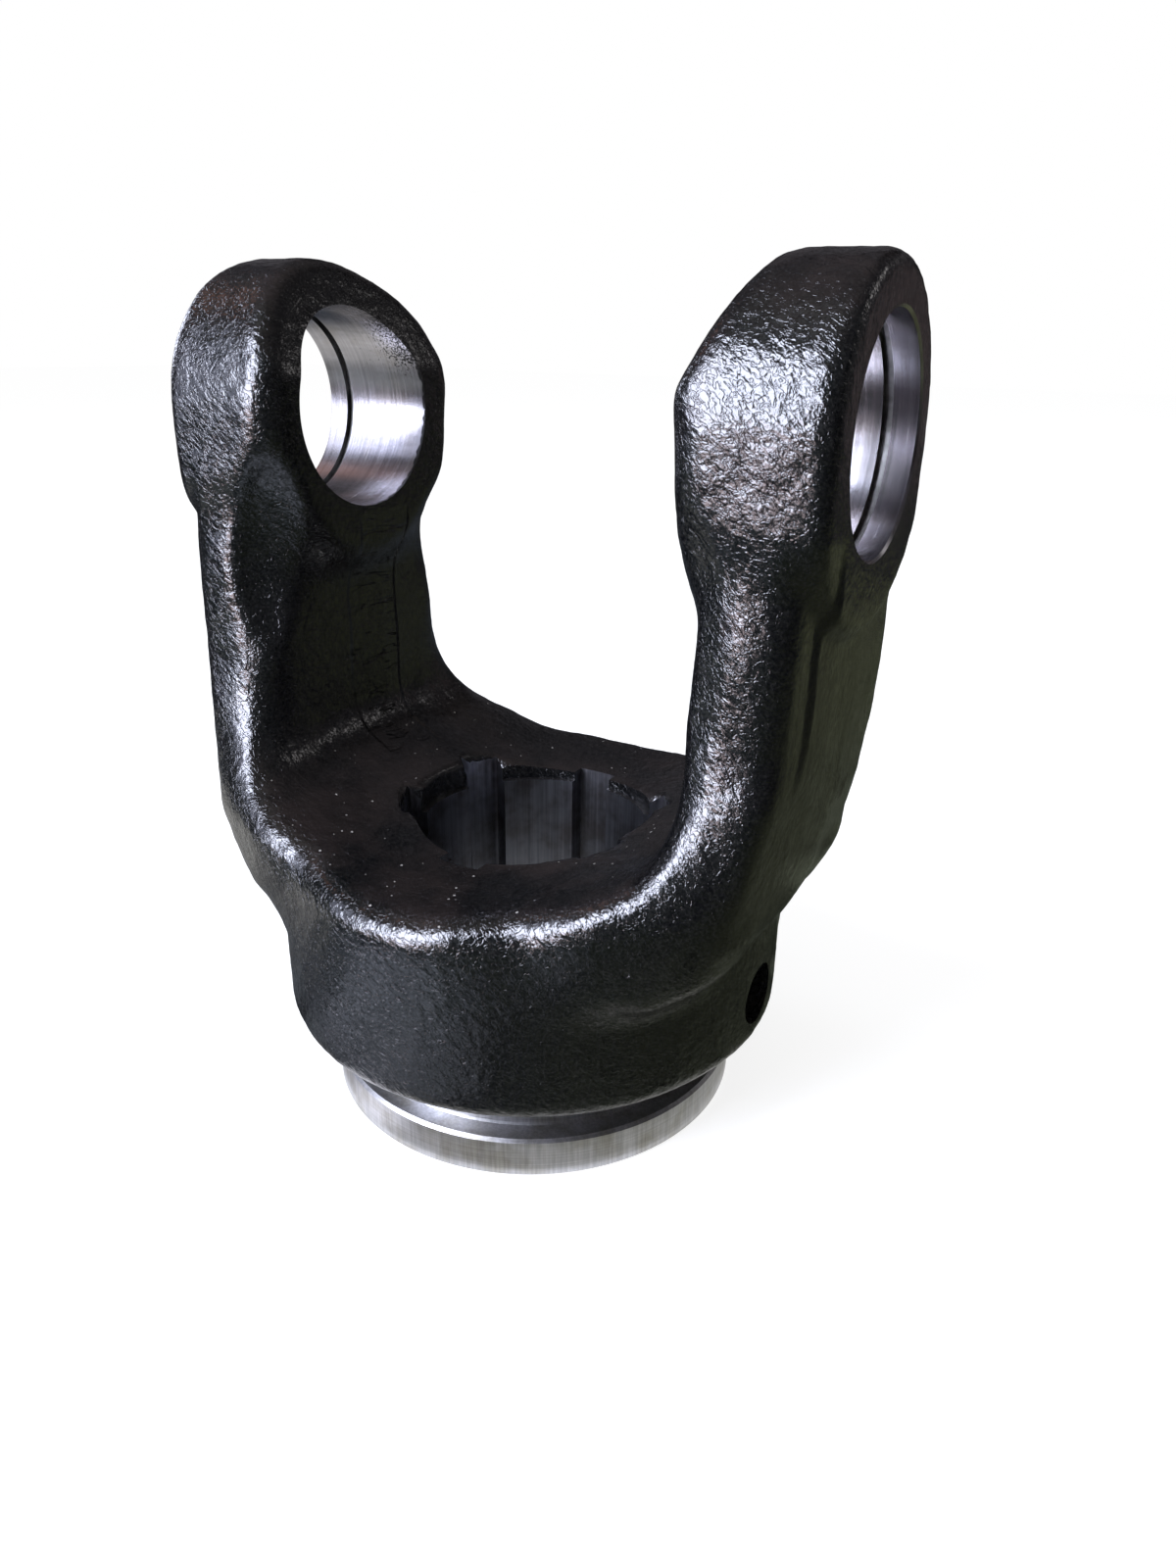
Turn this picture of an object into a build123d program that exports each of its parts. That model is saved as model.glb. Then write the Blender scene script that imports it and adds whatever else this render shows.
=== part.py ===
from build123d import *
from math import cos, dist, radians, sin, sqrt, tan
import os

# Forged yoke of a driveline universal joint: one steel forging, machined afterwards.
# The hub's axis is Z, and the machined end face of its ring lies at z = 0. The bearing
# cups sit on an axis along X, through both ears. All sizes are in millimetres.

# Cup bores, across both ears
bore_radius = 15.1
bore_height = 109.6
boss_inner = 31.2
boss_outer = 52.4
clip_groove_inset = 4.6
clip_groove_width = 1.9
clip_groove_depth = 1.1
bore_chamfer = 0.7

# Ear bosses: round over the top, a wider round foot that runs out into the arm, and a
# bevel that thins the inner side above the bore
boss_top_radius = 21.7
boss_foot_flare = 3.5
boss_foot_radius = boss_top_radius + boss_foot_flare
boss_waist_radius = 12.0
boss_edge_radius = 2.2
boss_inner_edge_radius = 3.2
bevel_start = 5.5
bevel_angle = 23.0

# Ear arms, set back from the boss faces
arm_inner_step = 4.0
arm_outer_step = 2.6
arm_flare = 1.5
arm_inner = boss_inner + arm_inner_step
arm_outer = boss_outer - arm_outer_step
arm_half_width = boss_top_radius + arm_flare
arm_corner_radius = 3.5
arm_rim_radius = 3.0
wall_stock = 0.4

# Saddle between the ears
floor_height = 46.1
floor_radius = 62.5
floor_corner_radius = 8.0
saddle_rim_radius = 4.0

# Hub
hub_radius = 42.0
hub_underside = 14.6
underside_rise = 1.0
hub_corner_radius = 3.5

# Guard groove and end ring
ring_radius = 35.0
ring_height = 6.9
ring_chamfer = 0.5
groove_radius = 31.0

# Profile bore: a round bore with six keyed grooves, and a painted mouth at the saddle
land_radius = 19.0
spline_radius = 22.25
spline_width = 7.2
spline_count = 6
spline_start_angle = 30.0
mouth_radius = 19.9
mouth_depth = 1.5
entry_chamfer = 1.0

# Pin hole across the hub
pin_radius = 5.0
pin_height = 24.6

# Height of the cup axis above the saddle, which the arms' level sections divide
rise = bore_height - floor_height

# Level sections of an arm above the saddle: share of the rise, then places across the arm,
# with 0 on its inner side and 1 on its outer side, then half widths as shares of
# arm_half_width
arm_levels = (
    # share, middle, corner, ridge, corner width, ridge width, inner width
    (0.943, 1.034, 1.014, 0.534, 0.905, 0.897, 0.858),
    (0.817, 1.034, 1.014, 0.500, 0.961, 0.931, 0.819),
    (0.691, 1.034, 1.007, 0.466, 0.987, 0.948, 0.815),
    (0.565, 1.034, 1.000, 0.466, 1.009, 0.974, 0.832),
    (0.455, 1.021, 0.986, 0.432, 1.022, 0.991, 0.879),
    (0.345, 0.993, 0.945, 0.363, 1.034, 1.047, 0.983),
    (0.250, 0.945, 0.877, 0.295, 1.060, 1.142, 1.121),
)

# Level sections of the skirt, where an arm swells out of the hub: share of the rise, then
# each point's distance from the hub's axis, as a share of hub_radius, with its bearing
skirt_levels = (
    # share, middle, corner, bearing, ridge, bearing, inner, bearing
    (0.172, 1.155, 1.274, 28.1, 1.131, 37.9, 1.043, 45.8),
    (0.093, 1.138, 1.257, 29.6, 1.126, 41.3, 1.026, 56.9),
    (0.000, 1.107, 1.229, 31.7, 1.090, 44.6, 1.002, 64.7),
    (-0.096, 1.055, 1.176, 33.0, 1.055, 45.6, 0.998, 61.5),
    (-0.206, 0.940, 0.976, 33.3, 0.988, 41.7, 0.981, 50.9),
)

# Share of a flat flank that the rounding of the corner beside it may take up
rounding_limit = 0.95


def corner_rounding(radius, corner, beside):
    """A corner's radius, limited so that its arc ends within the flank up to the next point."""
    flank = dist(corner, beside)
    half_corner = abs(beside[0] - corner[0]) / (flank + corner[1] - beside[1])
    return min(radius, rounding_limit * flank * half_corner)


def level_section(share, middle, corner, ridge, inner):
    """One closed level section: bowed outer side, flat flanks, rounded inner corners."""
    points = (corner, ridge, inner)
    near_side = [(x, -y) for x, y in reversed(points)]
    with BuildSketch(Plane.XY.offset(floor_height + share * rise)) as section:
        with BuildLine():
            ThreePointArc((corner[0], -corner[1]), (middle, 0), corner)
            Polyline(*points, *near_side)
        make_face()
        outer_rounding = corner_rounding(arm_corner_radius, corner, ridge)
        fillet(section.vertices().sort_by(Axis.X)[-2:], outer_rounding)
        inner_rounding = corner_rounding(arm_rim_radius, inner, ridge)
        fillet(section.vertices().sort_by(Axis.X)[:2], inner_rounding)
    return section.sketch


def across_arm(place):
    """X of a place across the arm's thickness."""
    return arm_inner + place * (arm_outer - arm_inner)


def arm_section(share, middle, corner, ridge, corner_width, ridge_width, inner_width):
    """A section above the saddle, with stock on the inner side for the cavity to cut."""
    return level_section(
        share,
        across_arm(middle),
        (across_arm(corner), arm_half_width * corner_width),
        (across_arm(ridge), arm_half_width * ridge_width),
        (arm_inner - wall_stock, arm_half_width * inner_width),
    )


def skirt_point(reach, bearing):
    """A point of the skirt, by its share of the hub's radius and its bearing."""
    radius = hub_radius * reach
    return (radius * cos(radians(bearing)), radius * sin(radians(bearing)))


def skirt_section(share, middle, corner, corner_at, ridge, ridge_at, inner, inner_at):
    """A section of the skirt, whose flanks run out to the hub's circle."""
    return level_section(
        share,
        hub_radius * middle,
        skirt_point(corner, corner_at),
        skirt_point(ridge, ridge_at),
        skirt_point(inner, inner_at),
    )


# Cavity between the ears: a bowed saddle floor, round corners and upright walls
with BuildPart() as cavity:
    cavity_top = bore_height + 2 * boss_foot_radius
    corner_height = floor_height + floor_radius - sqrt(floor_radius**2 - arm_inner**2)
    with BuildSketch(Plane.XZ) as cavity_outline:
        with BuildLine():
            floor_line = ThreePointArc(
                (-arm_inner, corner_height), (0, floor_height), (arm_inner, corner_height)
            )
            Polyline(floor_line @ 1, (arm_inner, cavity_top), (-arm_inner, cavity_top), floor_line @ 0)
        make_face()
        fillet(cavity_outline.vertices().group_by(Axis.Y)[0], floor_corner_radius)
    extrude(amount=2 * hub_radius, both=True)

# One arm, from the skirt inside the hub up into its boss
with BuildPart() as arm:
    for level in arm_levels:
        add(arm_section(*level))
    for level in skirt_levels:
        add(skirt_section(*level))
    loft()
    add(cavity.part, mode=Mode.SUBTRACT)

# One boss, the round end of an ear
with BuildPart() as boss:
    foot_side = sqrt(boss_foot_radius**2 - boss_top_radius**2)
    with BuildSketch(Plane.YZ.offset(boss_inner)) as boss_outline:
        with BuildLine():
            ThreePointArc(
                (boss_top_radius, bore_height),
                (0, bore_height + boss_top_radius),
                (-boss_top_radius, bore_height),
            )
            Line((-boss_top_radius, bore_height), (-boss_top_radius, bore_height - foot_side))
            ThreePointArc(
                (-boss_top_radius, bore_height - foot_side),
                (0, bore_height - boss_foot_radius),
                (boss_top_radius, bore_height - foot_side),
            )
            Line((boss_top_radius, bore_height - foot_side), (boss_top_radius, bore_height))
        make_face()
        fillet(boss_outline.vertices().sort_by(Axis.Y)[:2], boss_waist_radius)
    extrude(amount=boss_outer - boss_inner)
    with BuildSketch(Plane.XZ) as bevel:
        bevel_foot = bore_height + bevel_start
        bevel_rise = 2 * boss_top_radius
        with BuildLine():
            Polyline(
                (boss_inner, bevel_foot),
                (boss_inner + bevel_rise * tan(radians(bevel_angle)), bevel_foot + bevel_rise),
                (boss_inner - boss_edge_radius, bevel_foot + bevel_rise),
                (boss_inner - boss_edge_radius, bevel_foot),
                (boss_inner, bevel_foot),
            )
        make_face()
    extrude(amount=2 * boss_foot_radius, both=True, mode=Mode.SUBTRACT)
    fillet(boss.faces().sort_by(Axis.X)[-1].edges(), boss_edge_radius)
    inner_faces = boss.faces().filter_by(GeomType.PLANE).sort_by(Axis.X)[:2]
    fillet(inner_faces.edges(), boss_inner_edge_radius)

with BuildPart() as yoke:
    # Hub: ring, guard groove and body turned as one shape, then the saddle cut across it
    hub_top = floor_height + floor_radius
    with BuildSketch(Plane.XZ) as hub_profile:
        with BuildLine():
            Polyline(
                (0, 0),
                (ring_radius - ring_chamfer, 0),
                (ring_radius, ring_chamfer),
                (ring_radius, ring_height - ring_chamfer),
                (ring_radius - ring_chamfer, ring_height),
                (groove_radius, ring_height),
                (groove_radius, hub_underside),
                (hub_radius, hub_underside + underside_rise),
                (hub_radius, hub_top),
                (0, hub_top),
                (0, 0),
            )
        make_face()
        underside_corner = hub_profile.vertices().sort_by_distance(
            (hub_radius, hub_underside + underside_rise, 0)
        )[0]
        fillet(underside_corner, hub_corner_radius)
    revolve(axis=Axis.Z)
    with BuildSketch(Plane.XZ):
        with Locations((0, floor_height + floor_radius)):
            Circle(floor_radius)
    extrude(amount=2 * hub_radius, both=True, mode=Mode.SUBTRACT)
    fillet(yoke.edges(Select.LAST), saddle_rim_radius)

    # Ears
    for half in (arm.part, boss.part):
        add(half)
        add(mirror(half, about=Plane.YZ, mode=Mode.PRIVATE))

    # Cup bores with their circlip grooves and chamfered mouths, turned as one shape
    cup_axis = Axis((0, 0, bore_height), (1, 0, 0))
    cup_wall = bore_height + bore_radius
    clip_middle = boss_outer - clip_groove_inset
    with BuildSketch(Plane.XZ):
        with BuildLine():
            Polyline(
                (0, bore_height),
                (0, cup_wall),
                (clip_middle - clip_groove_width / 2, cup_wall),
                (clip_middle - clip_groove_width / 2, cup_wall + clip_groove_depth),
                (clip_middle + clip_groove_width / 2, cup_wall + clip_groove_depth),
                (clip_middle + clip_groove_width / 2, cup_wall),
                (boss_outer - bore_chamfer, cup_wall),
                (boss_outer, cup_wall + bore_chamfer),
                (boss_outer + bore_radius, cup_wall + bore_chamfer),
                (boss_outer + bore_radius, bore_height),
                (0, bore_height),
            )
        make_face()
        mirror(about=Plane.YZ)
    revolve(axis=cup_axis, mode=Mode.SUBTRACT)

    # Profile bore: round land and keyed grooves in one section
    with BuildSketch():
        Circle(land_radius)
        with PolarLocations(spline_radius / 2, spline_count, start_angle=spline_start_angle):
            Rectangle(spline_radius, spline_width)
        Circle(spline_radius, mode=Mode.INTERSECT)
    extrude(amount=bore_height, mode=Mode.SUBTRACT)

    # Mouth of the profile bore at the saddle, and its chamfered entry at the end face
    with BuildSketch(Plane.XY.offset(floor_height - mouth_depth)):
        Circle(mouth_radius)
    extrude(amount=bore_height, mode=Mode.SUBTRACT)
    with BuildSketch(Plane.XZ):
        with BuildLine():
            Polyline(
                (0, 0),
                (land_radius + entry_chamfer, 0),
                (land_radius, entry_chamfer),
                (0, entry_chamfer),
                (0, 0),
            )
        make_face()
    revolve(axis=Axis.Z, mode=Mode.SUBTRACT)

    # Pin hole across the hub, through both walls
    with BuildSketch(Plane.YZ):
        with Locations((0, pin_height)):
            Circle(pin_radius)
    extrude(amount=2 * hub_radius, both=True, mode=Mode.SUBTRACT)

yoke.part.label = "yoke"

os.makedirs("parts", exist_ok=True)
export_step(yoke.part, "parts/yoke.step")
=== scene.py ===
from math import cos, hypot, pi, radians, sin

import bmesh
import bpy
from mathutils import Matrix, Vector, noise


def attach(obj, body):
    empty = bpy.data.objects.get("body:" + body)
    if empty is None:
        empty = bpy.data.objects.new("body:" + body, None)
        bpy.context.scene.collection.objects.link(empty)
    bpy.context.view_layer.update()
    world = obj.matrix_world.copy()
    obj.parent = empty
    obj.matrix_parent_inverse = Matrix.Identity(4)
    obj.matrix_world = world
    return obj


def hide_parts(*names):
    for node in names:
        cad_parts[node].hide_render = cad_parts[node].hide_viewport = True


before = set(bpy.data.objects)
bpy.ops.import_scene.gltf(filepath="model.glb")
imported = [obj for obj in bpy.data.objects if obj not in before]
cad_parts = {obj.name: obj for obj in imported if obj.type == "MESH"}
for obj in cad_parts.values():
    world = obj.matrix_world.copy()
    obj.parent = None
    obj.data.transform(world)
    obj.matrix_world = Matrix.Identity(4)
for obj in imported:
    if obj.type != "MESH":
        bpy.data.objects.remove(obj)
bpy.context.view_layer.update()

# Camera.
# The photograph's own viewpoint, worked out from the yoke's machined circles: close in
# front of it, to the right and above, with a plain phone's field of view.
MM = 0.001
camera_place = Vector((89.27, -141.89, 121.39)) * MM
camera_turn = radians(29.14)
camera_drop = radians(22.60)
camera_roll = radians(0.92)
photo_height = 1600
focal_pixels = 1109
sensor_side = 36.0

backwards = Vector(
    (sin(camera_turn) * cos(camera_drop), -cos(camera_turn) * cos(camera_drop), sin(camera_drop))
)
level_right = Vector((cos(camera_turn), sin(camera_turn), 0))
level_up = backwards.cross(level_right)
right = cos(camera_roll) * level_right + sin(camera_roll) * level_up
up = cos(camera_roll) * level_up - sin(camera_roll) * level_right

camera_data = bpy.data.cameras.new("camera")
camera_data.sensor_width = sensor_side
camera_data.lens = focal_pixels / photo_height * sensor_side
camera_data.clip_start = 0.01
camera = bpy.data.objects.new("camera", camera_data)
camera_axes = Matrix((right, up, backwards)).transposed().to_4x4()
camera.matrix_world = Matrix.Translation(camera_place) @ camera_axes
bpy.context.scene.collection.objects.link(camera)
bpy.context.scene.camera = camera
bpy.context.scene.view_settings.view_transform = "Standard"

# Forging.
# One steel forging: hub, saddle and two ears, pressed hot between dies, so every edge is
# round and the skin is uneven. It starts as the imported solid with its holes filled, and
# with stock left on the hub's end for the turned ring.
bore_height = 109.6 * MM
ear_outer = 52.4 * MM
ear_inner = 31.2 * MM
hub_radius = 42.0 * MM
floor_height = 46.1 * MM
underside_height = 14.6 * MM
pin_height = 24.6 * MM
bevel_start = 5.5 * MM
bevel_angle = radians(23)
skin_voxel = 0.8 * MM
cup_plug = 16.6 * MM
saddle_plug = 23.0 * MM
pin_plug = 5.4 * MM
end_stock = 36.5 * MM


def bare_copy(node, name):
    """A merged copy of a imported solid, as a mesh of its own."""
    shape = bmesh.new()
    shape.from_mesh(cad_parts[node].data)
    bmesh.ops.remove_doubles(shape, verts=shape.verts, dist=0.002 * MM)
    mesh = bpy.data.meshes.new(name)
    shape.to_mesh(mesh)
    shape.free()
    return mesh


def add_bar(shape, radius, length, place, along_x=False):
    """Adds a closed round bar to a shape, along Z or along X."""
    turn = Matrix.Rotation(pi / 2, 4, "Y") if along_x else Matrix.Identity(4)
    bmesh.ops.create_cone(
        shape,
        cap_ends=True,
        segments=128,
        radius1=radius,
        radius2=radius,
        depth=length,
        matrix=Matrix.Translation(place) @ turn,
    )


def apply_modifiers(thing):
    """Makes the result of a thing's modifiers its own mesh."""
    bpy.context.view_layer.update()
    graph = bpy.context.evaluated_depsgraph_get()
    made = bpy.data.meshes.new_from_object(thing.evaluated_get(graph), depsgraph=graph)
    thing.modifiers.clear()
    thing.data = made


# Bars fill the cup bores, the profile bore and the pin hole, a little short of the faces around
# them. Those in the cup bores are cut off along the bevel at the bosses' inner faces.
forging_mesh = bare_copy("yoke", "forged_yoke")
blank = bmesh.new()
blank.from_mesh(forging_mesh)
for side in (-1, 1):
    plug = bmesh.new()
    plug_place = (side * (ear_inner + ear_outer) / 2, 0, bore_height)
    add_bar(plug, cup_plug, ear_outer - ear_inner - 0.02 * MM, plug_place, along_x=True)
    plug_parts = plug.verts[:] + plug.edges[:] + plug.faces[:]
    bevel_foot = (side * ear_inner, 0, bore_height + bevel_start)
    bevel_facing = (-side * cos(bevel_angle), 0, sin(bevel_angle))
    bmesh.ops.bisect_plane(
        plug,
        geom=plug_parts,
        plane_co=bevel_foot,
        plane_no=bevel_facing,
        clear_outer=True,
    )
    bmesh.ops.holes_fill(plug, edges=[edge for edge in plug.edges if edge.is_boundary])
    plug_mesh = bpy.data.meshes.new("plug")
    plug.to_mesh(plug_mesh)
    plug.free()
    blank.from_mesh(plug_mesh)
add_bar(blank, saddle_plug, floor_height, (0, 0, floor_height / 2))
add_bar(blank, pin_plug, 2 * hub_radius - 0.8 * MM, (0, 0, pin_height), along_x=True)
add_bar(blank, end_stock, underside_height + 1.5 * MM, (0, 0, underside_height / 2 - 0.5 * MM))
blank.to_mesh(forging_mesh)
blank.free()
yoke = bpy.data.objects.new("forged_yoke", forging_mesh)
bpy.context.scene.collection.objects.link(yoke)

remesh = yoke.modifiers.new("skin", "REMESH")
remesh.mode = "VOXEL"
remesh.voxel_size = skin_voxel
apply_modifiers(yoke)


def ramp(value, low, high):
    """A smooth step from 0 at low to 1 at high, or the other way round."""
    share = min(max((value - low) / (high - low), 0), 1)
    return share * share * (3 - 2 * share)


def smooth_skin(shape, rounds, weight_of=None):
    """Evens the skin out, everywhere or by a weight for each point."""
    soft = []
    for point in shape.verts:
        weight = 1.0 if weight_of is None else weight_of(point.co)
        if weight > 0.01:
            others = [edge.other_vert(point) for edge in point.link_edges]
            soft.append((point, 0.6 * weight, others))
    for _ in range(rounds):
        places = []
        for point, weight, others in soft:
            middle = sum((other.co for other in others), Vector()) / len(others)
            places.append(point.co.lerp(middle, weight))
        for (point, _, _), place in zip(soft, places):
            point.co = place


# Scoops at the arms' inner corners, as (middle, half height) in millimetres: deep ones at the
# front, where the cross swings, and shallow ones at the back.
scoop_half = 12.0
scoops = (
    ((-30, -25.8, 88), 19.5),
    ((30, -29.0, 92), 16.5),
    ((-28, 30.5, 88), 19.0),
    ((28, 30.5, 88), 19.0),
)


def scoop_depth(place, middle, half_height):
    """How far out a point lies from a scoop's middle: 1 on the scoop's surface."""
    across, along, up = place / MM - Vector(middle)
    return Vector((across / scoop_half, along / scoop_half, up / half_height)).length


def scooped(place):
    """A point of the skin, pushed out to the surface of the scoop that it lies in."""
    for middle, half_height in scoops:
        depth = scoop_depth(place, middle, half_height)
        if depth < 1:
            centre = Vector(middle) * MM
            place = centre + (place - centre) / max(depth, 0.2)
    return place


def scoop_weight(place):
    """Share of extra rounding: the edges of the scoops."""
    return max(ramp(scoop_depth(place, *scoop), 1.35, 1.1) for scoop in scoops)


def scoop_fade(place):
    """Share of extra rounding: where the scoops run out into the arms' inner faces."""
    near = max(ramp(scoop_depth(place, *scoop), 1.6, 1.2) for scoop in scoops)
    return near * ramp(abs(place.x), 37 * MM, 33 * MM)


def boss_swell(place):
    """How far a boss bulges at the back of its inner face, where the dies part, in metres."""
    inner = ramp(abs(place.x), 44 * MM, 34 * MM)
    return 1.7 * MM * inner * ramp(place.y, 6 * MM, 18 * MM) * ramp(place.z, 92 * MM, 100 * MM)


def rim_weight(place):
    """Share of extra rounding: the saddle's rim and the arms' low edges beside it."""
    reach = hypot(place.x, place.y)
    across = ramp(reach, 33 * MM, 37 * MM)
    height = ramp(place.z, 38 * MM, 43 * MM) * ramp(place.z, 76 * MM, 64 * MM)
    inside = ramp(abs(place.x), 47 * MM, 42 * MM) * ramp(abs(place.y), 12 * MM, 16 * MM)
    wide = 0.04 + 0.96 * ramp(abs(place.x), 10 * MM, 26 * MM)
    return across * height * inside * wide


def foot_weight(place):
    """Share of extra rounding: where a boss's foot runs into its arm."""
    reach = hypot(place.y, place.z - bore_height)
    around = ramp(reach, 19.5 * MM, 23 * MM) * ramp(reach, 36 * MM, 31 * MM)
    below = ramp(place.z, 104 * MM, 96 * MM)
    inside = ramp(abs(place.x), 50 * MM, 45 * MM) * ramp(place.y, -20 * MM, -15 * MM)
    return around * below * inside


def crease_weight(place):
    """Share of extra rounding: the crease where the skirts swell out of the hub."""
    height = ramp(place.z, 25 * MM, 31 * MM) * ramp(place.z, 50 * MM, 42 * MM)
    return height * ramp(abs(place.x), 8 * MM, 16 * MM) * ramp(abs(place.y), 12 * MM, 22 * MM)


def skirt_swell(place):
    """How far the skirts bulge out below the saddle's rim, in metres."""
    height = ramp(place.z, 30 * MM, 37 * MM) * ramp(place.z, 62 * MM, 48 * MM)
    outer = ramp(place.z, 45 * MM, 50 * MM) * ramp(abs(place.x), 41 * MM, 48 * MM)
    around = ramp(abs(place.x), 18 * MM, 30 * MM) * ramp(abs(place.y), 10 * MM, 20 * MM)
    return 1.5 * MM * height * around * (1 - 0.9 * outer)


def skin_dent(place):
    """How far scale and die wear put the forged skin off its true shape, in metres."""
    stretched = Vector((place.x, place.y, place.z * 0.8)) / MM
    broad = noise.fractal(stretched / 9.0 + Vector((3.1, 0.4, 7.7)), 1.0, 2.0, 2)
    dents = noise.fractal(stretched / 2.6 + Vector((1.7, 5.2, 0.6)), 0.8, 2.0, 3)
    return (0.10 * broad + 0.08 * dents) * MM


def is_forged(place):
    """Share of the full skin: none at the mouths and the underside, which are machined."""
    cup = ramp(hypot(place.y, place.z - bore_height), 16.2 * MM, 18.5 * MM)
    mouth = ramp(hypot(place.x, place.y), 21.5 * MM, 24 * MM)
    keep_mouth = max(mouth, ramp(place.z, 60 * MM, 70 * MM))
    end = ramp(place.z, 15.6 * MM, 17.5 * MM)
    return cup * keep_mouth * end


# The bulges come after the rounding, and the dents come last, on a skin that lies a little in,
# so that its bumps keep to the true size.
skin_inset = 0.05 * MM
skin = bmesh.new()
skin.from_mesh(yoke.data)
for point in skin.verts:
    point.co = scooped(point.co)
smooth_skin(skin, 3)
smooth_skin(skin, 9, scoop_weight)
smooth_skin(skin, 40, scoop_fade)
smooth_skin(skin, 110, rim_weight)
smooth_skin(skin, 40, foot_weight)
smooth_skin(skin, 35, crease_weight)
for point in skin.verts:
    outwards = Vector((0, point.co.y, point.co.z - bore_height)).normalized()
    sideways = Vector((point.co.x, point.co.y, 0)).normalized()
    point.co += outwards * boss_swell(point.co) + sideways * skirt_swell(point.co)
skin.normal_update()
for point in skin.verts:
    point.co += point.normal * (skin_dent(point.co) - skin_inset) * is_forged(point.co)
skin.to_mesh(yoke.data)
skin.free()

# Black paint.
# Thick gloss black sprayed over the forged skin: it rounds the crinkles of the scale, turns
# brownish in patches where it faces up, partly dust and partly a painted warm sheen of the light
# from above, and holds white specks of dust in the saddle.


class Nodes:
    """A node tree, with short ways to add nodes, set their sockets and join them."""

    def __init__(self, tree):
        self.tree = tree

    def feed(self, socket, value):
        """Sets a socket to a value, or links it to another node's output."""
        if isinstance(value, bpy.types.NodeSocket):
            self.tree.links.new(value, socket)
        else:
            socket.default_value = value

    def add(self, kind, **sockets):
        """Adds a node and sets or links its inputs by name."""
        node = self.tree.nodes.new(kind)
        for name, value in sockets.items():
            self.feed(node.inputs[name.replace("_", " ")], value)
        return node

    def math(self, operation, *values, clamp=False):
        """One step of arithmetic."""
        node = self.tree.nodes.new("ShaderNodeMath")
        node.operation = operation
        node.use_clamp = clamp
        for socket, value in zip(node.inputs, values):
            self.feed(socket, value)
        return node.outputs[0]

    def scaled(self, vector, scale):
        """A vector times a scale for each axis."""
        node = self.tree.nodes.new("ShaderNodeVectorMath")
        node.operation = "MULTIPLY"
        self.feed(node.inputs[0], vector)
        self.feed(node.inputs[1], scale)
        return node.outputs[0]

    def noise(self, vector, size, detail=2.0, rough=0.5, distort=0.0):
        """Even noise whose features are about size millimetres wide."""
        node = self.add("ShaderNodeTexNoise", Vector=vector, Scale=1 / size, Detail=detail)
        node.inputs["Roughness"].default_value = rough
        node.inputs["Distortion"].default_value = distort
        return node.outputs["Fac"]

    def step(self, value, low, high, start=0.0, end=1.0):
        """A smooth step of a value between two limits."""
        node = self.add("ShaderNodeMapRange", Value=value)
        node.interpolation_type = "SMOOTHSTEP"
        limits = {"From Min": low, "From Max": high, "To Min": start, "To Max": end}
        for name, number in limits.items():
            self.feed(node.inputs[name], number)
        return node.outputs["Result"]

    def mix(self, share, first, second, how="MIX"):
        """A mix of two colours."""
        node = self.tree.nodes.new("ShaderNodeMix")
        node.data_type = "RGBA"
        node.blend_type = how
        self.feed(node.inputs[0], share)
        self.feed(node.inputs[6], first)
        self.feed(node.inputs[7], second)
        return node.outputs[2]

    def parts(self, vector):
        """The three parts of a vector."""
        return self.add("ShaderNodeSeparateXYZ", Vector=vector).outputs


class Finish(Nodes):
    """A material with its shader, and the place on the piece in millimetres."""

    def __init__(self, name):
        self.material = bpy.data.materials.new(name)
        self.material.use_nodes = True
        super().__init__(self.material.node_tree)
        self.shader = self.tree.nodes["Principled BSDF"]
        metres = self.add("ShaderNodeTexCoord").outputs["Object"]
        self.place = self.scaled(metres, (1 / MM, 1 / MM, 1 / MM))
        self.x, self.y, self.z = self.parts(self.place)

    def set(self, **sockets):
        """Sets or links the shader's own sockets."""
        for name, value in sockets.items():
            self.feed(self.shader.inputs[name.replace("_", " ")], value)

    def relief(self, *layers):
        """Joins (height, depth in millimetres) layers into one bump on the shader's normal."""
        total = 0.0
        for height, depth in layers:
            total = self.math("MULTIPLY_ADD", height, depth, total)
        bump = self.add("ShaderNodeBump", Strength=1.0, Distance=MM, Height=total)
        self.feed(self.shader.inputs["Normal"], bump.outputs["Normal"])


paint = Finish("gloss_black_paint")
turned = paint.add("ShaderNodeMapping", Vector=paint.place, Rotation=(0, radians(-38), 0))
drawn = paint.scaled(turned.outputs["Vector"], (0.72, 1.0, 1.16))
wrinkle = paint.math("SUBTRACT", paint.noise(drawn, 0.95, distort=0.5), 0.5)
wrinkle = paint.math("ABSOLUTE", wrinkle)
crinkle = paint.step(wrinkle, 0.0, 0.060)
ripple = paint.noise(drawn, 1.35, detail=2.0, rough=0.55, distort=0.3)
grain = paint.noise(paint.place, 0.35, detail=2.0, rough=0.5)
pits = paint.add("ShaderNodeTexVoronoi", Vector=paint.place, Scale=0.12).outputs["Distance"]
pit = paint.step(pits, 0.07, 0.04)
facing = paint.add("ShaderNodeNewGeometry").outputs["Normal"]
facing_x, _, facing_z = paint.parts(facing)
facing_up = paint.step(facing_z, 0.35, 0.95)
cloud = paint.noise(paint.place, 14.0, detail=3.0, rough=0.6)
# Brownish patches where the paint faces up: partly dust, partly a painted warm sheen of the light
# from above.
top_dust_and_sheen = paint.math("MULTIPLY", facing_up, paint.step(cloud, 0.35, 0.7))
speckles = paint.add("ShaderNodeTexVoronoi", Vector=paint.place, Scale=0.9)
chance = paint.parts(speckles.outputs["Color"])[0]
speck_size = paint.step(chance, 0.72, 1.0, 0.0, 0.19)
scattered = paint.step(paint.noise(paint.place, 7.0), 0.38, 0.55)
speck_size = paint.math("MULTIPLY", speck_size, scattered)
speck = paint.math("LESS_THAN", speckles.outputs["Distance"], speck_size)
in_saddle = paint.step(paint.z, 62, 50)
dust = paint.math("MULTIPLY", speck, paint.math("MULTIPLY", facing_up, in_saddle))

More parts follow.
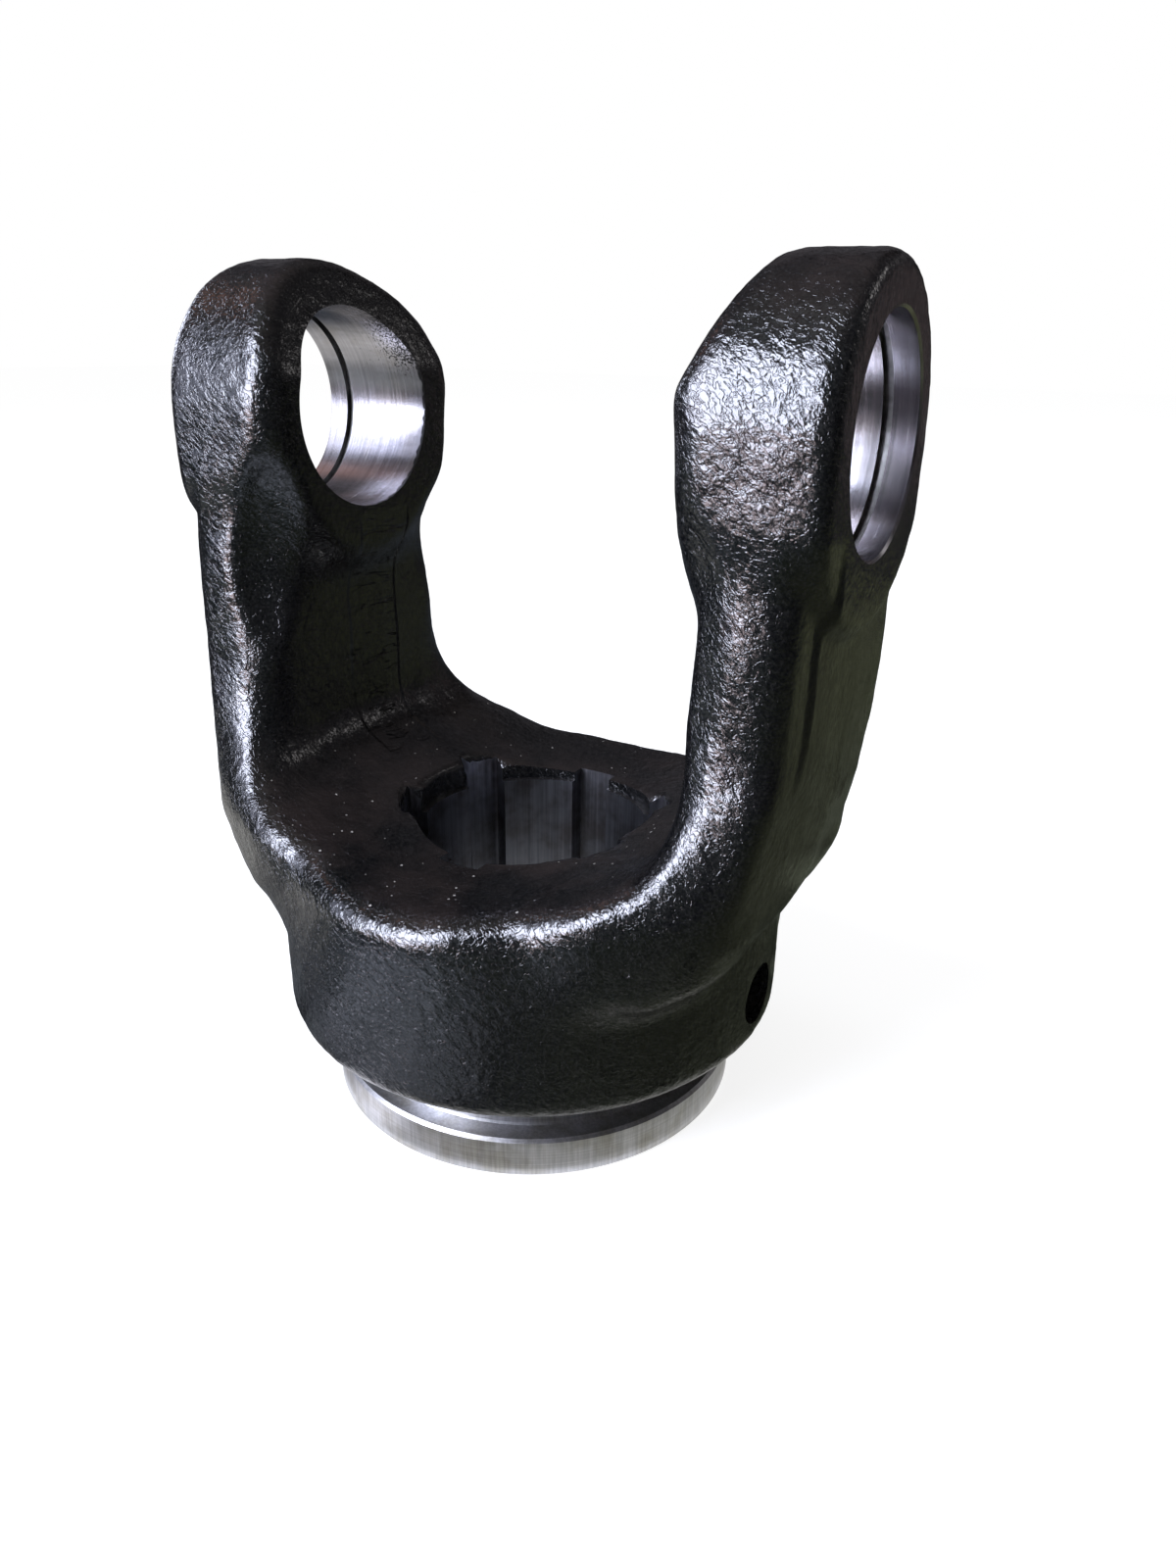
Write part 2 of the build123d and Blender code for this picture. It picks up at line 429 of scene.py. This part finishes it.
# The inner faces of the arms keep a flat band between two die lines, with short tool marks
# across it. The outer faces bend along one upright line.
on_inner = paint.math("LESS_THAN", paint.math("ABSOLUTE", paint.x), 37.5)
on_inner = paint.math("MULTIPLY", on_inner, paint.step(paint.z, 50, 56))
on_inner = paint.math("MULTIPLY", on_inner, paint.step(paint.z, 94, 90))
wander = paint.math("MULTIPLY_ADD", paint.noise(paint.place, 11.0), 1.6, paint.y)
band = paint.math("MULTIPLY", paint.step(wander, -2.6, -1.7), paint.step(wander, 10.4, 9.6))
band = paint.math("MULTIPLY", band, on_inner)
marks = paint.noise(paint.scaled(paint.place, (0.3, 0.16, 1.0)), 1.1, detail=1.0)
marks = paint.math("MULTIPLY", paint.step(marks, 0.60, 0.66), band)
on_outer = paint.math("MULTIPLY", paint.step(facing_x, 0.6, 0.85), paint.step(paint.z, 90, 82))
bend = paint.math("MAXIMUM", paint.math("SUBTRACT", wander, 6.6), 0.0)
bend = paint.math("MULTIPLY", bend, on_outer)

# Below the bosses the arms' front flanks lean a little back towards the outer faces.
on_flank = paint.math("MULTIPLY", paint.step(paint.z, 64, 74), paint.step(paint.z, 100, 92))
on_flank = paint.math("MULTIPLY", on_flank, paint.step(paint.y, -12, -16))
lean = paint.math("MAXIMUM", paint.math("SUBTRACT", paint.math("ABSOLUTE", paint.x), 40.0), 0.0)
lean = paint.math("MULTIPLY", lean, on_flank)

# The skin shows through as fine paler pores, and the hub's ripples stand a little higher.
pores = paint.step(paint.noise(paint.place, 0.42, detail=3.0, rough=0.7), 0.42, 0.72)
hub_ripple = paint.math("MULTIPLY", ripple, paint.step(paint.z, 40, 34))

black = (0.0013, 0.0015, 0.0020, 1)
pore_grey = (0.0105, 0.0105, 0.0100, 1)
umber = (0.015, 0.0115, 0.0105, 1)
dust_white = (0.30, 0.29, 0.27, 1)
# The umber on faces that look up is partly dust and partly a painted warm sheen from above.
skin_dust_and_sheen = paint.mix(top_dust_and_sheen, paint.mix(pores, black, pore_grey), umber)
paint.set(
    Base_Color=paint.mix(dust, skin_dust_and_sheen, dust_white),
    Roughness=paint.step(cloud, 0.3, 0.75, 0.15, 0.22),
    Specular_IOR_Level=0.8,
)
paint.relief(
    (crinkle, 0.026),
    (ripple, 0.19),
    (hub_ripple, 0.10),
    (grain, 0.027),
    (pit, -0.12),
    (band, -0.45),
    (marks, -0.45),
    (bend, -0.11),
    (lean, -0.17),
)

# Turned steel.
# The cup bores, the groove under the hub and the end ring are turned after painting: bare
# steel with a fine tool lay around each axis, a little stained where oil has dried.
steel_inputs = (
    ("Place", "NodeSocketVector"),
    ("Lines", "NodeSocketVector"),
    ("Streaks", "NodeSocketVector"),
    ("Steel", "NodeSocketColor"),
    ("Stain", "NodeSocketColor"),
    ("Roughness", "NodeSocketFloat"),
)
steel_outputs = (
    ("Colour", "NodeSocketColor"),
    ("Roughness", "NodeSocketFloat"),
    ("Height", "NodeSocketFloat"),
)
cut_steel = Nodes(bpy.data.node_groups.new("cut_steel", "ShaderNodeTree"))
for direction, sockets in (("INPUT", steel_inputs), ("OUTPUT", steel_outputs)):
    for name, kind in sockets:
        cut_steel.tree.interface.new_socket(name, in_out=direction, socket_type=kind)
given = cut_steel.tree.nodes.new("NodeGroupInput").outputs
made = cut_steel.tree.nodes.new("NodeGroupOutput").inputs
along_lines = cut_steel.scaled(given["Place"], given["Lines"])
lay = cut_steel.noise(along_lines, 1.0, detail=3.0, rough=0.6)
along_streaks = cut_steel.scaled(given["Place"], given["Streaks"])
streak = cut_steel.noise(along_streaks, 1.0, detail=3.0, rough=0.65)
stained = cut_steel.noise(given["Place"], 6.0, detail=3.0, rough=0.6)
stained = cut_steel.step(stained, 0.40, 0.68)
lay_tone = cut_steel.step(lay, 0.3, 0.7, 0.84, 1.06)
streak_tone = cut_steel.step(streak, 0.3, 0.7, 0.80, 1.08)
tone = cut_steel.math("MULTIPLY", lay_tone, streak_tone)
cast = cut_steel.mix(stained, given["Steel"], given["Stain"])
cut_steel.feed(made["Colour"], cut_steel.mix(1.0, cast, tone, how="MULTIPLY"))
cut_steel.feed(made["Roughness"], cut_steel.math("MULTIPLY_ADD", lay, 0.12, given["Roughness"]))
cut_steel.feed(made["Height"], cut_steel.math("MULTIPLY_ADD", streak, 0.5, lay))


def steel_finish(name, lines, streaks, steel, stain, rough, depth):
    """A bare steel material, with the cut steel effect in it."""
    finish = Finish(name)
    effect = finish.tree.nodes.new("ShaderNodeGroup")
    effect.node_tree = cut_steel.tree
    finish.feed(effect.inputs["Place"], finish.place)
    finish.feed(effect.inputs["Lines"], lines)
    finish.feed(effect.inputs["Streaks"], streaks)
    finish.feed(effect.inputs["Steel"], steel)
    finish.feed(effect.inputs["Stain"], stain)
    finish.feed(effect.inputs["Roughness"], rough)
    finish.set(
        Base_Color=effect.outputs["Colour"],
        Roughness=effect.outputs["Roughness"],
        Metallic=1.0,
    )
    finish.relief((effect.outputs["Height"], depth))
    return finish


bore_steel = steel_finish(
    "turned_bore_steel",
    lines=(2.6, 0.05, 0.05),
    streaks=(0.05, 0.25, 0.25),
    steel=(0.52, 0.51, 0.54, 1),
    stain=(0.46, 0.44, 0.44, 1),
    rough=0.19,
    depth=0.0024,
)
ring_steel = steel_finish(
    "turned_ring_steel",
    lines=(0.05, 0.05, 5.0),
    streaks=(2.2, 2.2, 0.10),
    steel=(0.53, 0.53, 0.54, 1),
    stain=(0.40, 0.39, 0.36, 1),
    rough=0.32,
    depth=0.010,
)
# The circlip groove's steel is darker than the bore's: painted shade inside the narrow groove.
clip_steel_shaded = steel_finish(
    "clip_groove_steel",
    lines=(6.0, 0.05, 0.05),
    streaks=(0.1, 0.4, 0.4),
    steel=(0.36, 0.36, 0.35, 1),
    stain=(0.16, 0.16, 0.15, 1),
    rough=0.36,
    depth=0.003,
)
broached_steel = steel_finish(
    "broached_bore_steel",
    lines=(1.6, 1.6, 0.03),
    streaks=(3.5, 3.5, 0.05),
    steel=(0.30, 0.31, 0.34, 1),
    stain=(0.20, 0.19, 0.195, 1),
    rough=0.26,
    depth=0.012,
)

# Overspray in the cup bores: paint dust lies thick at the inner mouth and thins out along
# the upper wall.
bare_colour = bore_steel.shader.inputs["Base Color"].links[0].from_socket
along = bore_steel.math("ABSOLUTE", bore_steel.x)
along = bore_steel.math("SUBTRACT", along, ear_inner / MM)
above = bore_steel.math("SUBTRACT", bore_steel.z, bore_height / MM)
near = bore_steel.math("MULTIPLY", bore_steel.step(along, 13, 0), bore_steel.step(above, 1, 9))
limit = bore_steel.step(near, 0.0, 1.0, 0.76, 0.47)
droplets = bore_steel.noise(bore_steel.place, 0.34, detail=1.0)
spray = bore_steel.math("GREATER_THAN", droplets, limit)
ragged = bore_steel.noise(bore_steel.place, 1.2, detail=3.0)
lip = bore_steel.math("MULTIPLY_ADD", ragged, -2.4, along)
spray = bore_steel.math("MAXIMUM", spray, bore_steel.math("LESS_THAN", lip, -0.60))
spray_black = (0.012, 0.011, 0.011, 1)
bore_steel.set(
    Base_Color=bore_steel.mix(spray, bare_colour, spray_black),
    Metallic=bore_steel.math("SUBTRACT", 1.0, spray),
)

finishes = (paint, bore_steel, ring_steel, clip_steel_shaded, broached_steel)
PAINT, BORE, RING, CLIP, BROACH = range(len(finishes))
for finish in finishes:
    yoke.data.materials.append(finish.material)


def turned_cutter(name, profile, along_x, cap, height=0.0, steps=256):
    """A closed turned body from (run, radius, finish of the side that starts there)."""
    axis = (1, 0, 0) if along_x else (0, 0, 1)
    places = [(run, radius, height) if along_x else (radius, 0, run) for run, radius, _ in profile]
    shape = bmesh.new()
    for start, end, (_, _, finish) in zip(places, places[1:], profile):
        known = len(shape.faces)
        side = shape.edges.new((shape.verts.new(start), shape.verts.new(end)))
        bmesh.ops.spin(
            shape,
            geom=[*side.verts, side],
            cent=(0, 0, height),
            axis=axis,
            angle=2 * pi,
            steps=steps,
            use_merge=True,
        )
        for face in list(shape.faces)[known:]:
            face.material_index = finish
    bmesh.ops.remove_doubles(shape, verts=shape.verts, dist=0.001 * MM)
    known = len(shape.faces)
    bmesh.ops.holes_fill(shape, edges=[edge for edge in shape.edges if edge.is_boundary])
    for face in list(shape.faces)[known:]:
        face.material_index = cap
    return finish_cutter(name, shape)


def finish_cutter(name, shape):
    """Turns a cutter's faces outwards and makes it an object with the yoke's finishes."""
    bmesh.ops.recalc_face_normals(shape, faces=shape.faces)
    mesh = bpy.data.meshes.new(name)
    shape.to_mesh(mesh)
    shape.free()
    for finish in finishes:
        mesh.materials.append(finish.material)
    cutter = bpy.data.objects.new(name, mesh)
    bpy.context.scene.collection.objects.link(cutter)
    return cutter


def cut_away(cutter):
    """Cuts one cutter out of the yoke and drops it."""
    cut = yoke.modifiers.new("cut", "BOOLEAN")
    cut.operation = "DIFFERENCE"
    cut.solver = "MANIFOLD"
    cut.object = cutter
    apply_modifiers(yoke)
    bpy.data.objects.remove(cutter)


# Cup bores.
# Bored and chamfered in one go through both ears, with a narrow groove near each outer mouth
# for the circlip that holds the bearing cup.
bore_radius = 15.1 * MM
bore_chamfer = 0.35 * MM
clip_middle = ear_outer - 4.6 * MM
clip_half = 0.70 * MM
clip_radius = bore_radius + 0.9 * MM

half_profile = (
    (clip_middle - clip_half, bore_radius, CLIP),
    (clip_middle - clip_half, clip_radius, CLIP),
    (clip_middle + clip_half, clip_radius, CLIP),
    (clip_middle + clip_half, bore_radius, BORE),
    (ear_outer - bore_chamfer, bore_radius, BORE),
    (ear_outer + 3 * MM, bore_radius + bore_chamfer + 3 * MM, BORE),
)
for side in (-1, 1):
    profile = [(side * (ear_inner - 6 * MM), bore_radius, BORE)]
    profile += [(side * run, radius, finish) for run, radius, finish in half_profile]
    cut_away(turned_cutter("cup_bore_cutter", profile, True, BORE, height=bore_height))

# End ring and guard groove.
# The hub's end is turned to a bright ring, with a groove above it that a shaft guard's
# bearing runs in.
ring_radius = 35.0 * MM
ring_height = 6.9 * MM
ring_chamfer = 0.5 * MM
groove_radius = 31.0 * MM
groove_fillet = 0.35 * MM
clear_radius = 60 * MM
underside_cut = underside_height + 0.15 * MM

profile = (
    (-6 * MM, clear_radius, RING),
    (underside_cut + 2.6 * MM, clear_radius, PAINT),
    (underside_cut, groove_radius, RING),
    (ring_height + groove_fillet, groove_radius, RING),
    (ring_height, groove_radius + groove_fillet, RING),
    (ring_height, ring_radius - ring_chamfer, RING),
    (ring_height - ring_chamfer, ring_radius, RING),
    (ring_chamfer, ring_radius, RING),
    (0, ring_radius - ring_chamfer, RING),
)
cut_away(turned_cutter("ring_cutter", profile, False, RING))

# Profile bore.
# A round bore broached with six keyed grooves for a splined shaft, with a shallow turned
# mouth in the saddle and a chamfered entry at the end face.
land_radius = 19.0 * MM
spline_radius = 22.25 * MM
spline_width = 7.2 * MM
spline_count = 6
spline_start = radians(30)
mouth_radius = 19.9 * MM
mouth_depth = 1.5 * MM
entry_chamfer = 1.0 * MM
broach_start = -3 * MM
broach_length = 66 * MM


def spline_outline():
    """The bore's section: arcs of the land circle, and grooves out to their own circle."""
    key_land = spline_width / 2 / land_radius
    key_tip = spline_width / 2 / spline_radius
    pitch = 2 * pi / spline_count
    points = []
    for index in range(spline_count):
        middle = spline_start + index * pitch
        for part in range(7):
            points.append((spline_radius, middle - key_tip + 2 * key_tip * part / 6))
        for part in range(19):
            points.append((land_radius, middle + key_land + (pitch - 2 * key_land) * part / 18))
    return [(radius * cos(angle), radius * sin(angle)) for radius, angle in points]


shape = bmesh.new()
section = shape.faces.new([shape.verts.new((x, y, broach_start)) for x, y in spline_outline()])
raised = bmesh.ops.extrude_face_region(shape, geom=[section])
top = [item for item in raised["geom"] if isinstance(item, bmesh.types.BMVert)]
bmesh.ops.translate(shape, verts=top, vec=(0, 0, broach_length))
for face in shape.faces:
    face.material_index = BROACH
cut_away(finish_cutter("spline_cutter", shape))

profile = (
    (floor_height + 12 * MM, mouth_radius, PAINT),
    (floor_height - mouth_depth, mouth_radius, BROACH),
)
cut_away(turned_cutter("mouth_cutter", profile, False, BORE))
profile = (
    (-2 * MM, land_radius + entry_chamfer + 2 * MM, RING),
    (entry_chamfer, land_radius, RING),
)
cut_away(turned_cutter("entry_cutter", profile, False, RING))

# Pin hole.
# Drilled across the hub before painting, for the cross pin that locks the shaft. Its wall has
# the same black paint as the skin.
pin_radius = 5.0 * MM
profile = (
    (-hub_radius - 4 * MM, pin_radius, PAINT),
    (hub_radius + 4 * MM, pin_radius, PAINT),
)
cut_away(turned_cutter("pin_cutter", profile, True, PAINT, height=pin_height, steps=96))

# The skin is shaded smooth, except across the edges that the tools left sharp.
sharp_angle = radians(38)
shape = bmesh.new()
shape.from_mesh(yoke.data)
for face in shape.faces:
    face.smooth = True
for edge in shape.edges:
    edge.smooth = len(edge.link_faces) == 2 and edge.calc_face_angle(0) < sharp_angle
shape.to_mesh(yoke.data)
shape.free()

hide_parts("yoke")
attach(yoke, "root")

# Floor and light.
# A plain pale studio floor in a white surround. A tall soft window at the front left draws the
# highlights down the flanks, and two weaker ones at the left light the far ear and the rim.
floor_side = 6.0
floor_mesh = bpy.data.meshes.new("floor")
shape = bmesh.new()
bmesh.ops.create_grid(shape, x_segments=1, y_segments=1, size=floor_side / 2)
shape.to_mesh(floor_mesh)
shape.free()
floor = bpy.data.objects.new("floor", floor_mesh)
bpy.context.scene.collection.objects.link(floor)

floor_finish = Finish("pale_floor")
floor_finish.set(Base_Color=(0.42, 0.42, 0.42, 1), Roughness=0.9, Specular_IOR_Level=0.0)
path = floor_finish.add("ShaderNodeLightPath")
shown = floor_finish.math("ADD", path.outputs["Is Camera Ray"], path.outputs["Is Glossy Ray"])
shown = floor_finish.math("ADD", shown, path.outputs["Is Transmission Ray"], clamp=True)
floor_glow = floor_finish.math("MULTIPLY", shown, 0.78)
floor_finish.set(Emission_Color=(1, 1, 1, 1), Emission_Strength=floor_glow)
floor_mesh.materials.append(floor_finish.material)

world = bpy.data.worlds.new("surround")
bpy.context.scene.world = world
world.use_nodes = True
world.node_tree.nodes.clear()
sky = Nodes(world.node_tree)
path = sky.add("ShaderNodeLightPath")
seen = sky.math("ADD", path.outputs["Is Camera Ray"], path.outputs["Is Glossy Ray"])
seen = sky.math("ADD", seen, path.outputs["Is Transmission Ray"], clamp=True)
strength = sky.math("MULTIPLY_ADD", seen, 0.50, 0.50)
background = sky.add("ShaderNodeBackground", Color=(1, 1, 1, 1), Strength=strength)
sky.add("ShaderNodeOutputWorld", Surface=background.outputs["Background"])


def add_light(name, place, aim, size, power, colour):
    """A soft rectangular lamp that looks at a point."""
    data = bpy.data.lights.new(name, "AREA")
    data.shape = "RECTANGLE"
    data.size, data.size_y = size
    data.energy = power
    data.color = colour
    lamp = bpy.data.objects.new(name, data)
    lamp.location = place
    lamp.rotation_euler = (Vector(aim) - Vector(place)).to_track_quat("-Z", "Y").to_euler()
    lamp.visible_camera = False
    bpy.context.scene.collection.objects.link(lamp)


add_light(
    "window",
    place=(-0.285, -0.585, 0.40),
    aim=(0.01, 0, 0.09),
    size=(0.34, 0.64),
    power=14.0,
    colour=(0.78, 0.82, 1.0),
)
add_light(
    "side_window",
    place=(-0.54, -0.44, 0.37),
    aim=(-0.02, 0, 0.09),
    size=(0.24, 0.66),
    power=0.85,
    colour=(0.72, 0.76, 1.0),
)
add_light(
    "far_window",
    place=(-0.70, 0.12, 0.29),
    aim=(-0.02, 0, 0.05),
    size=(0.22, 0.20),
    power=1.1,
    colour=(0.78, 0.82, 1.0),
)

# A dark hood around the object, open below the ring, stands for the dark shop around it. It
# only shows in reflections, as cards do beside glossy metal in a studio. The pools of light on
# it are what the paint and the turned steel mirror.
hood_mesh = bpy.data.meshes.new("dark_hood")
shape = bmesh.new()
hood_profile = ((0.036, 0.0004), (0.85, 0.0004), (0.85, 1.15), (0.001, 1.15))
corners = [shape.verts.new((radius, 0, height)) for radius, height in hood_profile]
sides = [shape.edges.new(pair) for pair in zip(corners, corners[1:])]
bmesh.ops.spin(
    shape,
    geom=corners + sides,
    cent=(0, 0, 0),
    axis=(0, 0, 1),
    angle=2 * pi,
    steps=96,
    use_merge=True,
)
shape.to_mesh(hood_mesh)
shape.free()
hood_finish = Finish("dark_shop")
hood_finish.set(Base_Color=(0, 0, 0, 1), Roughness=1.0, Specular_IOR_Level=0.0)


def glow(middle, inner, outer, colour, under):
    """Lays a soft pool of light over what is under it on the hood, out to a distance."""
    offset = hood_finish.tree.nodes.new("ShaderNodeVectorMath")
    offset.operation = "DISTANCE"
    hood_finish.feed(offset.inputs[0], hood_finish.place)
    hood_finish.feed(offset.inputs[1], middle)
    share = hood_finish.step(offset.outputs["Value"], outer, inner)
    return hood_finish.mix(share, under, colour)


to_right = hood_finish.step(hood_finish.x, -100, 100)
floor_tone = hood_finish.mix(to_right, (0.070, 0.080, 0.100, 1), (0.080, 0.088, 0.056, 1))
floor_tone = glow((0, 0, 0), 130, 480, floor_tone, (0.030, 0.031, 0.033, 1))
wall_tone = (0.038, 0.036, 0.040, 1)
wall_patches = hood_finish.noise(hood_finish.place, 150.0, detail=1.0)
wall_patches = hood_finish.step(wall_patches, 0.45, 0.58, 0.2, 3.6)
wall_tone = hood_finish.mix(1.0, wall_tone, wall_patches, how="MULTIPLY")
shop = hood_finish.mix(hood_finish.step(hood_finish.z, 0, 60), floor_tone, wall_tone)
far_pools = (
    ((0, 0, 1150), 300, 1000, (0.16, 0.135, 0.13, 1)),
    ((-150, -300, 1150), 50, 330, (0.42, 0.40, 0.42, 1)),
    ((-450, 540, 620), 20, 140, (1.9, 1.8, 1.8, 1)),
    ((535, 660, 480), 20, 150, (2.5, 2.4, 2.4, 1)),
    ((-840, 30, 880), 30, 260, (0.75, 0.42, 0.34, 1)),
    ((230, 810, 130), 30, 210, (0.13, 0.10, 0.10, 1)),
    ((180, 290, 0), 50, 220, (0.12, 0.13, 0.078, 1)),
    ((-290, -760, 0), 60, 290, (5.5, 4.5, 4.7, 1)),
    ((-28, -92, 0), 0, 68, (0.75, 0.80, 0.98, 1)),
)
for middle, inner, outer, colour in far_pools:
    shop = glow(middle, inner, outer, colour, shop)
patches = hood_finish.noise(hood_finish.place, 17.0, detail=1.0)
patches = hood_finish.step(patches, 0.42, 0.58, 0.35, 1.9)
patched = hood_finish.mix(1.0, shop, patches, how="MULTIPLY")
shop = hood_finish.mix(hood_finish.step(hood_finish.z, 60, 0), shop, patched)
shop = glow((-160, -30, 0), 20, 105, (0.80, 0.79, 0.76, 1), shop)
shop = glow((-260, -200, 0), 40, 170, (0.40, 0.42, 0.42, 1), shop)
ring_tone = hood_finish.mix(to_right, (0.55, 0.54, 0.60, 1), (0.50, 0.50, 0.45, 1))
shop = glow((0, 0, 0), 40, 50, ring_tone, shop)
shop = glow((-16, -38, 0), 2, 12, (1.7, 1.7, 1.9, 1), shop)
hood_finish.set(Emission_Color=shop, Emission_Strength=1.0)
hood_mesh.materials.append(hood_finish.material)
hood = bpy.data.objects.new("dark_hood", hood_mesh)
hood.visible_camera = False
hood.visible_diffuse = False
hood.visible_shadow = False
bpy.context.scene.collection.objects.link(hood)
